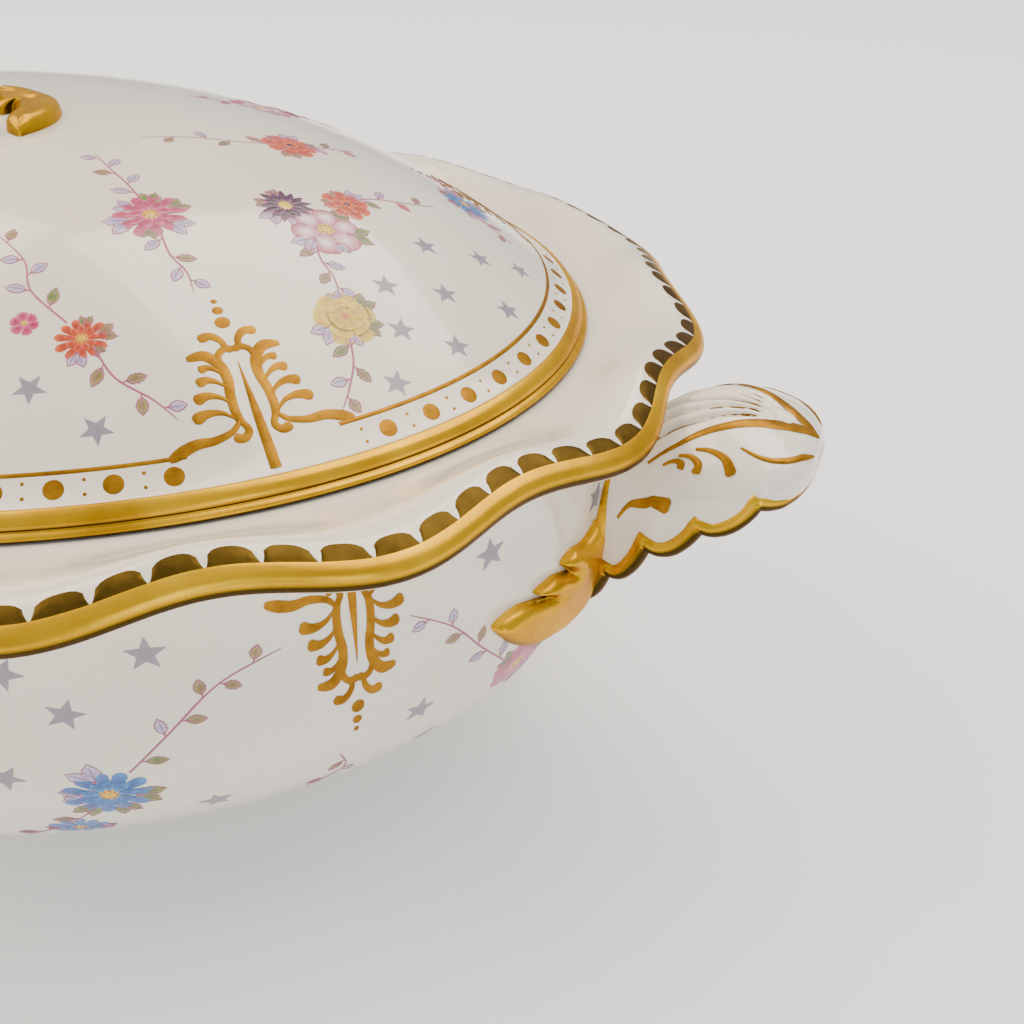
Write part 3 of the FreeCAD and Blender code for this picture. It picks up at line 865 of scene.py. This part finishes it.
# places on the cover are (share of the border's oval, degrees)
COVER_SPRIGS = (
    (((0.6, -30.5), (0.52, -28.6), (0.45, -27.4), (0.395, -25.6)), (OLV, LAV, LAV, OLV, LAV, LAV)),
    (((0.62, -31), (0.68, -33), (0.72, -32.9), (0.758, -34)), (LAV, OLV, LAV, LAV)),
    (((0.78, -48.2), (0.72, -50.6), (0.66, -50.2), (0.59, -53)), (GRN, LAV, LAV, LAV, OLV)),
    (((0.83, -46.6), (0.87, -45.9), (0.905, -43.6), (0.935, -42.4)), (OLV, OLV, OLV, LAV)),
    (((0.72, -13), (0.755, -15.8), (0.79, -17), (0.83, -19.5)), (OLV, LAV, OLV, LAV)),
    (((0.87, -21.8), (0.91, -24), (0.94, -26.4), (0.965, -28.6)), (GRN, OLV, LAV, OLV)),
    (((0.69, 1.5), (0.71, 6), (0.75, 10.5), (0.79, 15)), (GRN, LAV, "orange", OLV)),
    (((0.84, 25), (0.88, 21.5), (0.92, 19.5)), (GRN, LAV, OLV)),
    (((0.85, 27), (0.83, 32.5), (0.84, 37)), (GRN, LAV, OLV)),
    (((0.55, 14.5), (0.49, 8), (0.43, 2), (0.38, -8)), (OLV, GRN, LAV, OLV)),
    (((0.57, 17), (0.61, 21), (0.66, 25.5)), (LAV, GRN, OLV)),
    (((0.57, 48), (0.64, 49), (0.71, 52), (0.77, 52)), (GRN, LAV, OLV, LAV)),
    (((0.55, 48), (0.49, 46), (0.42, 47)), (LAV, OLV, LAV)),
    (((0.72, -82), (0.79, -78.5), (0.85, -79), (0.92, -75)), (GRN, LAV, OLV, OLV)),
    (((0.7, -84), (0.63, -88), (0.56, -87), (0.5, -91)), (LAV, OLV, LAV, OLV)),
    (((0.74, 74), (0.8, 77), (0.87, 76), (0.93, 79)), (GRN, OLV, LAV, OLV)),
    (((0.71, 75), (0.63, 78), (0.56, 76)), (OLV, LAV, LAV)),
)
COVER_BLOOMS = (
    (daisy, "pink", (0.593, -30.5), 5.7, (GRN, GRN, LAV, GRN, LAV, LAV)),
    (daisy, "orange", (0.807, -47.4), 3.8, (GRN, OLV, GRN, LAV, "", "")),
    (wild_rose, "pink", (0.775, -52.2), 2.1, ()),
    (aster, "purple", (0.646, -9.9), 4.9, (OLV, "", "", LAV, LAV, OLV)),
    (poppy, "orange", (0.692, -0.2), 4.3, (GRN, LAV, "", "", "", GRN)),
    (wild_rose, "blush", (0.712, -9.6), 6.2, ("", GRN, GRN, LAV, LAV, "")),
    (cabbage_rose, "yellow", (0.85, -20.6), 5.2, (LAV, GRN, GRN, LAV, LAV, "")),
    (daisy, "blue", (0.851, 25.6), 5.6, (GRN, LAV, GRN, "", LAV, GRN)),
    (poppy, "orange", (0.559, 15.6), 5, (GRN, LAV, GRN, "", OLV, "")),
    (wild_rose, "blush", (0.558, 48.1), 5.8, (LAV, GRN, "", GRN, LAV, "")),
    (aster, "purple", (0.62, 52), 4.2, ()),
    (cabbage_rose, "yellow", (0.715, -83), 6, (GRN, LAV, GRN, LAV, GRN, "")),
    (daisy, "blue", (0.725, 74.5), 5.8, (GRN, LAV, GRN, LAV, "", OLV)),
)
COVER_STARS = ((0.873, -53.3), (0.934, -49), (0.81, 1.1), (0.877, 7.2), (0.933, 11.8), (0.829, -12),
               (0.878, -5.7), (0.945, 0.2), (0.893, -16), (0.943, -11.8), (0.954, -21.7),
               (0.86, -64), (0.93, -60), (0.89, -70), (0.94, -84), (0.87, -94),
               (0.86, 60), (0.93, 56), (0.9, 66), (0.94, 88), (0.87, 86), (0.93, 45))

# places on the bowl's side are (degrees, height)
BOWL_SPRIGS = (
    (((-52, 49), (-48.5, 57), (-45, 64), (-40.5, 67.8)), (GRN, LAV, OLV, OLV, OLV, OLV)),
    (((-55, 40), (-58, 34), (-61, 30)), (GRN, LAV, GRN)),
    (((-19.5, 46), (-23, 53), (-26.5, 61), (-30.5, 66.6)), (LAV, LAV, OLV, OLV, LAV, LAV)),
    (((-16, 39), (-13, 33), (-10.5, 29)), (GRN, LAV, OLV)),
    (((-36, 40.5), (-35, 35), (-37.5, 29)), (OLV, LAV, OLV)),
    (((-78, 58), (-81, 64), (-85, 68)), (OLV, LAV, OLV)),
    (((-76, 50), (-73, 43), (-71, 37)), (GRN, LAV, GRN)),
)
BOWL_BLOOMS = (
    (daisy, "blue", (-53.7, 44.1), 6.4, (GRN, LAV, LAV, "", GRN, GRN)),
    (daisy, "blue", (-56.6, 33), 4.8, (GRN, "", LAV, "")),
    (wild_rose, "pink", (-16.8, 42), 6.2, (GRN, LAV, GRN, LAV, "", "")),
    (cabbage_rose, "yellow", (-77, 53.5), 5.8, (GRN, LAV, GRN, LAV, "", "")),
)
BOWL_STARS = ((-49.3, 71.3), (-55.1, 62.4), (-60.1, 50.4), (-58.2, 70.5), (-22.5, 71.3), (-6.8, 67.6),
              (-67, 60), (-64, 40), (-70, 71), (-86, 50), (-46, 36), (-29, 45),
              (-26, 33), (-7, 32))


def bloom_at(palette, bloom, anchor, flip=1.0):
    kind, shade, at, size, leaves = bloom
    place = patch(palette.surface, anchor, 17.0 * at[0], flip)
    nosegay(palette, place, size, leaves)
    kind(palette, place, size, shade)


def even_angles(lengths, count):
    """Angles that part an oval into equal steps."""
    fine = [tau * k / 3600 for k in range(3601)]
    walked = [0.0]
    for angle in fine[1:]:
        walked.append(walked[-1] + hypot(lengths[0] * sin(angle), lengths[1] * cos(angle)))
    return [fine[bisect_right(walked, walked[-1] * k / count) - 1] for k in range(count)]


def decorate_cover():
    palette = Palette(on_dome)
    for turn in (0.0, 180.0):
        for path, shades in COVER_SPRIGS:
            stem(palette, [cover_spot(share, degrees + turn) for share, degrees in path], shades)
        for bloom in COVER_BLOOMS:
            share, degrees = bloom[2]
            bloom_at(palette, bloom, cover_spot(share, degrees + turn))
        for share, degrees in COVER_STARS:
            star(palette, patch(on_dome, cover_spot(share, degrees + turn), 40.0 * share), 2.5)
        for degrees in (-36.3, 36.3):
            anchor = cover_spot(0.972, degrees + turn)
            ornament(palette, patch(on_dome, anchor, 1.5 if degrees < 0 else -1.5))
    gold = palette["gold"]
    angles = even_angles(BORDER, BORDER_DOTS)
    for index, angle in enumerate(angles):
        if min(abs((in_degrees(angle) - corner + 180) % 360 - 180)
               for corner in ORNAMENT_ANGLES) < DOT_GAP:
            continue
        spot = Vector((BORDER[0] * cos(angle), BORDER[1] * sin(angle), 89.0))
        place = patch(on_dome, spot)
        if index % 2 == 0:
            gold.disc(place, (0.0, 0.0), 1.45, ENAMEL * 1.6, 16)
        else:
            for height in (-1.0, 1.1):
                gold.disc(place, (0.0, height), 0.3, ENAMEL, 6)
    palette.done("cover", COVER)


def belly_spot(degrees, height):
    angle = radians(degrees)
    return on_belly((BELLY[0] * cos(angle), BELLY[1] * sin(angle), height))


def decorate_bowl():
    palette = Palette(on_belly)
    for turn, side in ((0.0, 1.0), (180.0, 1.0), (0.0, -1.0), (180.0, -1.0)):
        for path, shades in BOWL_SPRIGS:
            stem(palette, [belly_spot(degrees * side + turn, height) for degrees, height in path], shades)
        for bloom in BOWL_BLOOMS:
            degrees, height = bloom[2]
            bloom_at(palette, bloom, belly_spot(degrees * side + turn, height), side)
        for degrees, height in BOWL_STARS:
            star(palette, patch(on_belly, belly_spot(degrees * side + turn, height), 3.0 * degrees), 3.0)
        ornament(palette, patch(on_belly, belly_spot(-35.0 * side + turn, 76.2), 180.0, 0.9, 1.16))
    palette.done("bowl", BOWL)


# ---- raised gilt leaves ----

def along_outline(outline, share):
    """The spot at a share of the way round a closed outline."""
    position = (share % 1.0) * len(outline)
    index = int(position) % len(outline)
    a, b = outline[index], outline[(index + 1) % len(outline)]
    part = position - int(position)
    return (a[0] + (b[0] - a[0]) * part, a[1] + (b[1] - a[1]) * part)


def edge_distance(spot, outline):
    """How far a spot is from the nearest side of an outline."""
    nearest = 1e9
    for (ax, ay), (bx, by) in zip(outline, outline[1:] + outline[:1]):
        along_x, along_y = bx - ax, by - ay
        square = along_x * along_x + along_y * along_y
        share = ((spot[0] - ax) * along_x + (spot[1] - ay) * along_y) / square if square else 0.0
        share = share_of(share)
        nearest = min(nearest, hypot(spot[0] - ax - along_x * share, spot[1] - ay - along_y * share))
    return nearest


def relief_leaf(place, corners, heart_spot, height, round_over):
    """A moulded leaf with a full, rounded edge and a slightly dished middle."""
    outline = smooth(corners, 5, closed=True)
    bm = bmesh.new()

    def shape(u, v):
        edge = along_outline(outline, u)
        out = 1 - (1 - v) ** 1.7
        spot = tuple(a + (b - a) * out for a, b in zip(heart_spot, edge))
        gap = edge_distance(spot, outline)
        inset = min(gap / round_over, 1.0)
        dish = 0.12 * min(gap / 9.0, 1.0)
        lift = height * (sqrt(1 - (1 - inset) ** 2) - dish)
        return place(spot, lift if v < 0.999 else -0.3)
    sheet(bm, 150, 22, shape)
    bmesh.ops.remove_doubles(bm, verts=bm.verts, dist=0.02)
    return bm


WALL_LEAF = ((-9.2, 66), (-13, 63), (-17, 61.6), (-20.7, 62.2), (-23.4, 61), (-21.8, 59),
             (-20.9, 57.9), (-22, 58.4), (-25.7, 59.6), (-29.9, 58.9), (-28, 57.2), (-26.5, 56),
             (-27.4, 56.4), (-30, 57.3), (-34, 58.4), (-38.3, 57.2), (-37.2, 54.4), (-33.8, 50.4),
             (-30, 48), (-25, 46.5), (-19.6, 45.6), (-14.6, 46.4), (-12, 50), (-10.6, 56),
             (-8.8, 62.6))
# pairs of spots on the outer and the inner edge of the ribbon
TOP_LEAF = ((7.2, 1.5, 7.2, -1.5), (10.9, 3.7, 9.9, -2.9), (14.7, 4.1, 12.7, -4.2), (17.8, 3.6, 14.4, -6.6),
            (20.6, 2.5, 16.1, -6.8), (23, 0.7, 17.1, -5), (25.2, -2, 18.9, -6.6), (26.9, -5.3, 20.4, -8.8),
            (27.6, -8.6, 21.3, -11.6), (27.4, -11.8, 23.3, -14), (26.7, -14.7, 26.3, -15.1))


def make_wall_leaf(along, across, name):
    """along and across are 1 or -1: which end of the bowl, and which side of its handle."""
    def place(spot, lift=0.0):
        angle = asin(max(min(spot[0] / BELLY[1], 1.0), -1.0))
        point = on_belly((BELLY[0] * cos(angle), spot[0], spot[1]), lift)
        return Vector((point.x * along, point.y * across, point.z))
    bm = relief_leaf(place, WALL_LEAF, (-17.6, 53.6), 2.95, 2.6)
    gild(bm, f"{name}_gilt", LEAF_GOLD, BOWL, [name], weld=0.0)


def make_top_leaf(side, name):
    def place(spot, lift=0.0):
        return on_dome((spot[0] * side, spot[1] * side), lift)
    rows = smooth(TOP_LEAF, 6)
    bm = bmesh.new()

    def shape(u, v):
        outer_x, outer_y, inner_x, inner_y = rows[min(int(u * (len(rows) - 1) + 0.5), len(rows) - 1)]
        across = 2 * v - 1
        ends = sqrt(min(1.0, u / 0.1, (1 - u) / 0.12))
        groove = 1 - 0.22 * exp(-((across - 0.15) / 0.22) ** 2)
        full = sqrt(max(1 - abs(across) ** 2.6, 0.0)) * groove
        lift = 2.9 * full * ends if abs(across) < 0.999 else -0.3
        return place((outer_x + (inner_x - outer_x) * v, outer_y + (inner_y - outer_y) * v), lift)
    sheet(bm, len(rows) - 1, 28, shape)
    gild(bm, f"{name}_gilt", GOLD, COVER, [name], weld=0.0)


def tube(bm, path, radius):
    """A round rod along a path in space. radius gives its radius at a share of the way."""
    count = len(path) - 1

    def shape(u, v):
        where = min(int(u * count + 0.5), count)
        here = Vector(path[where])
        ahead = Vector(path[min(where + 1, count)]) - Vector(path[max(where - 1, 0)])
        side = ahead.cross(Vector((0.13, 1.0, 0.07))).normalized()
        up = ahead.cross(side).normalized()
        turn = tau * v
        return here + (side * cos(turn) + up * sin(turn)) * radius(u)
    sheet(bm, count, 12, shape)


def make_loop():
    """The cover's handle: an upright gilt ring, thicker at its crown, rising out of the dome."""
    bm = bmesh.new()
    path = []
    for step in range(73):
        angle = radians(-62 + 304 * step / 72)
        path.append((6.5 * cos(angle), 0.0, 128.8 + 11.0 * sin(angle)))
    tube(bm, path, lambda u: 1.75 + 0.7 * sin(pi * u) ** 2 + 0.12 * cos(tau * 14 * u))
    gild(bm, "cover_loop_gilt", GOLD, COVER, ["cover_handle"])


# (share of reach, share of width) along each stroke, then its width at both ends
ALONG_MM, ACROSS_MM = 38, 24    # what a whole share measures on the handle
HANDLE_VEINS = (
    (((0.287, -0.5), (0.388, -0.45), (0.487, -0.375), (0.606, -0.3), (0.725, -0.212), (0.844, -0.119),
      (0.969, 0)), (0.6, 2.9)),
    (((0.681, -0.463), (0.769, -0.512), (0.869, -0.512), (0.969, -0.419)), (0.4, 2.6)),
    (((0.494, -0.481), (0.562, -0.5), (0.631, -0.562), (0.669, -0.675)), (0.5, 2)),
    (((0.425, -0.512), (0.481, -0.531), (0.519, -0.588), (0.512, -0.644)), (0.5, 1.8)),
    (((0.362, -0.556), (0.412, -0.544), (0.444, -0.569), (0.438, -0.6)), (0.5, 1.5)),
    (((0.181, -0.769), (0.237, -0.713), (0.331, -0.762), (0.425, -0.806)), (0.5, 2.2)),
    (((0.15, 0), (0.32, 0), (0.52, 0), (0.72, 0)), (0.3, 0.7)),
    (((0.15, -0.133), (0.32, -0.155), (0.52, -0.107), (0.72, -0.06)), (0.3, 0.7)),
    (((0.15, -0.265), (0.32, -0.309), (0.52, -0.215), (0.72, -0.12)), (0.3, 0.7)),
)


def gild_handle(side, name):
    """Gold along the shell's edge and in the creases between its flutes."""
    edge = bmesh.new()
    steps = [1 - (1 - k / 110) ** 1.4 for k in range(111)]
    rim = [(along, hood_point(along, -1.0)) for along in steps]
    rim += [(1.0, Vector((rim[-1][1].x, rim[-1][1].y * (1 - k / 4), rim[-1][1].z))) for k in range(1, 8)]
    rim += [(along, hood_point(along, 1.0)) for along in reversed(steps)]
    tucked = []
    for along, point in rim:
        tuck = max(along - 0.75, 0.0) * 4
        tucked.append(end_turn(point + Vector((-0.5 - 1.3 * tuck, -0.06 * point.y, 1.0 - 1.1 * tuck)), side))
    tube(edge, tucked, lambda u: EDGE_ROD)
    gild(edge, f"{name}_edge_gilding", GOLD, BOWL)
    crease = bmesh.new()
    for across in (-1, 1):
        path = smooth([(131.2, 7.6 * across, 74.0), (130.9, 9.8 * across, 69.0), (130.5, 12.0 * across, 62.5),
                       (129.6, 13.6 * across, 56.0), (128.4, 13.0 * across, 50.6)], 8)
        tube(crease, [end_turn(Vector(point), side) for point in path],
             lambda u: 0.5 + 1.1 * sin(pi * min(u + 0.12, 1.0)))
    gild(crease, f"{name}_crease_gilding", GOLD, BOWL)

    def on_hood(spot, lift=0.0):
        point = hood_point(spot[0], spot[1]) + hood_normal(spot[0], spot[1]) * (lift + 0.06)
        return end_turn(point, side)
    veins = bmesh.new()
    for path, (narrow, wide) in HANDLE_VEINS:
        for flip in ((1,) if path[0][1] == 0.0 else (1, -1)):
            line = smooth([(along, across * flip) for along, across in path], 9)
            count = len(line) - 1

            def shape(u, v):
                where = min(int(u * count + 0.5), count)
                a, b = line[max(where - 1, 0)], line[min(where + 1, count)]
                aim = Vector(((b[0] - a[0]) * ALONG_MM, (b[1] - a[1]) * ACROSS_MM)).normalized()
                end = min(1.0, (1.02 - u) / 0.1)
                half = (narrow + (wide - narrow) * u ** 1.3) / 2 * sqrt(max(end, 0.04))
                shift = (2 * v - 1) * half
                spot = (line[where][0] - aim.y * shift / ALONG_MM, line[where][1] + aim.x * shift / ACROSS_MM)
                return on_hood(spot, 0.14 if 0.2 < v < 0.8 else 0.0)
            sheet(veins, count, 4, shape)
    gild(veins, f"{name}_veins", BRUSHED_GOLD, BOWL, weld=0.0)


def make_all():
    make_bowl()
    make_cover()
    make_foot()
    make_handle(1, "right_handle")
    make_handle(-1, "left_handle")
    for side, name in ((1, "right_handle"), (-1, "left_handle")):
        gild_handle(side, name)
        make_wall_leaf(side, 1, f"{name}_front_leaf")
        make_wall_leaf(side, -1, f"{name}_back_leaf")
    make_top_leaf(1, "cover_right_leaf")
    make_top_leaf(-1, "cover_left_leaf")
    make_loop()
    make_rim_gilding()
    make_cover_gilding()
    decorate_cover()
    decorate_bowl()


# ---- the studio ----

def add_camera():
    data = bpy.data.cameras.new("camera")
    data.lens = 40.67
    data.sensor_width = 36.0
    data.clip_start = 0.01
    camera = add_object("camera", data)
    right = Vector((0.94050, 0.33980, 0.0))
    up = Vector((-0.18324, 0.50718, 0.84213))
    back = Vector((0.28616, -0.79203, 0.53927))
    turn = Matrix((right, up, back)).transposed().to_4x4()
    camera.matrix_world = Matrix.Translation((0.17215, -0.17349, 0.17133)) @ turn
    bpy.context.scene.camera = camera


def add_light(name, place, target, size, power, shade="#FFFFFF"):
    data = bpy.data.lights.new(name, "AREA")
    data.shape = "RECTANGLE"
    data.size, data.size_y = size
    data.energy = power
    data.color = colour(shade)[:3]
    light = add_object(name, data)
    light.location = place
    light.rotation_euler = (Vector(target) - Vector(place)).to_track_quat("-Z", "Y").to_euler()


def add_studio():
    bm = bmesh.new()
    bmesh.ops.create_grid(bm, x_segments=1, y_segments=1, size=4.0)
    mesh = bpy.data.meshes.new("floor")
    bm.to_mesh(mesh)
    bm.free()
    material, tree, shader = blank("pale_floor")
    set_inputs(tree, shader, {"Base Color": colour("#FAFAFA"), "Roughness": 0.8,
                              "Emission Color": colour("#FFFFFF"), "Emission Strength": 0.18})
    mesh.materials.append(material)
    add_object("floor", mesh)
    world = bpy.data.worlds.new("room")
    bpy.context.scene.world = world
    world.use_nodes = True
    background = world.node_tree.nodes["Background"]
    background.inputs["Color"].default_value = colour("#D3DEEE")
    background.inputs["Strength"].default_value = 0.75
    add_light("window", (-1.1, -0.2, 1.3), (0, 0, 0.08), (1.8, 1.4), 32, "#FFE9CC")
    add_light("ceiling", (0.4, 0.6, 1.5), (0, 0, 0.08), (1.8, 1.2), 32, "#FFF2E0")
    add_light("side", (1.0, -0.9, 0.35), (0.1, 0, 0.08), (0.3, 0.6), 3, "#DCE8FF")


make_all()
add_camera()
add_studio()
